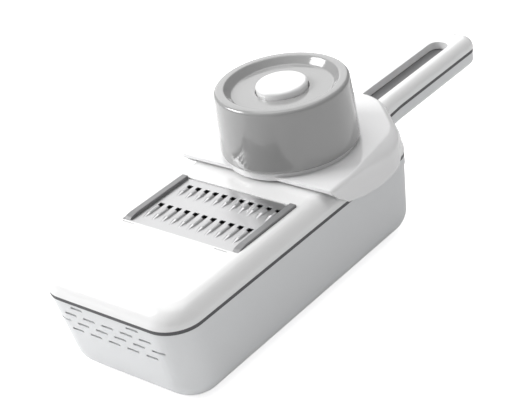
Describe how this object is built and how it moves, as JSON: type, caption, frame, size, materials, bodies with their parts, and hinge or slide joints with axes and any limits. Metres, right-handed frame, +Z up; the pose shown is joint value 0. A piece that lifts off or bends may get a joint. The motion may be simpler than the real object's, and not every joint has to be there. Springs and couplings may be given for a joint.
{
  "type": "mandoline slicer",
  "caption": "Hand slicer: a grater insert in a board over a drain tub with a handle, and a sliding hand guard whose pusher knob has a food eject button.",
  "frame": {"origin": "on the tub's flat resting face, under the middle of the board's length and width", "axes": "+X to the slicer's right side, +Y along the board to the handle, +Z up, away from the resting face"},
  "size_m": [0.117, 0.365, 0.116],
  "materials": {
    "tub_white": "satin moulded",
    "seal_grey": "soft moulded",
    "inlay_grey": "fine grained",
    "board_white": "polished",
    "frame_white": "moulded",
    "clip_white": "moulded",
    "plate_steel": "fine brushed",
    "rail_grey": "satin moulded",
    "guard_white": "polished",
    "ring_white": "moulded",
    "knob_grey": "polished",
    "liner_grey": "moulded",
    "pusher_white": "moulded",
    "pin_steel": "drawn wire",
    "button_white": "satin",
    "stem_white": "moulded",
    "stripper_white": "moulded",
    "spring_steel": "drawn wire",
    "screw_steel": "zinc plated"
  },
  "bodies": {
    "tub": {"drain_tub": "tub_white", "rim_seal": "seal_grey", "handle_inlay": "inlay_grey", "inlay_screws": "screw_steel"},
    "board": {"slicer_board": "board_white", "board_frame": "frame_white", "frame_screws": "screw_steel", "insert_clips": "clip_white"},
    "insert": {"grater_plate": "plate_steel", "insert_rail_left": "rail_grey", "insert_rail_right": "rail_grey"},
    "guard": {"guard_saddle": "guard_white", "retainer_ring": "ring_white"},
    "pusher": {"knob_shell": "knob_grey", "knob_liner": "liner_grey", "pusher_plate": "pusher_white", "food_pins": "pin_steel", "pusher_screws": "screw_steel", "button_spring": "spring_steel"},
    "button": {"eject_button": "button_white", "button_stem": "stem_white", "stem_clip": "screw_steel", "stripper_disc": "stripper_white", "stem_screw": "screw_steel"}
  },
  "joints": [
    {"name": "board_lift", "type": "slide", "parent": "tub", "child": "board", "axis": [0, 0, 1], "range_m": [0, 0.08]},
    {"name": "insert_drop", "type": "slide", "parent": "board", "child": "insert", "axis": [0, 0, -1], "range_m": [0, 0.018]},
    {"name": "guard_slide", "type": "slide", "parent": "board", "child": "guard", "axis": [0, -1, 0], "range_m": [0, 0.118]},
    {"name": "knob_lift", "type": "slide", "parent": "guard", "child": "pusher", "axis": [0, 0, 1], "range_m": [0, 0.0215]},
    {"name": "button_press", "type": "slide", "parent": "pusher", "child": "button", "axis": [0, 0, -1], "range_m": [0, 0.005], "stiffness_N_per_m": 400, "springref_m": -0.004, "deforming": ["button_spring"]}
  ]
}
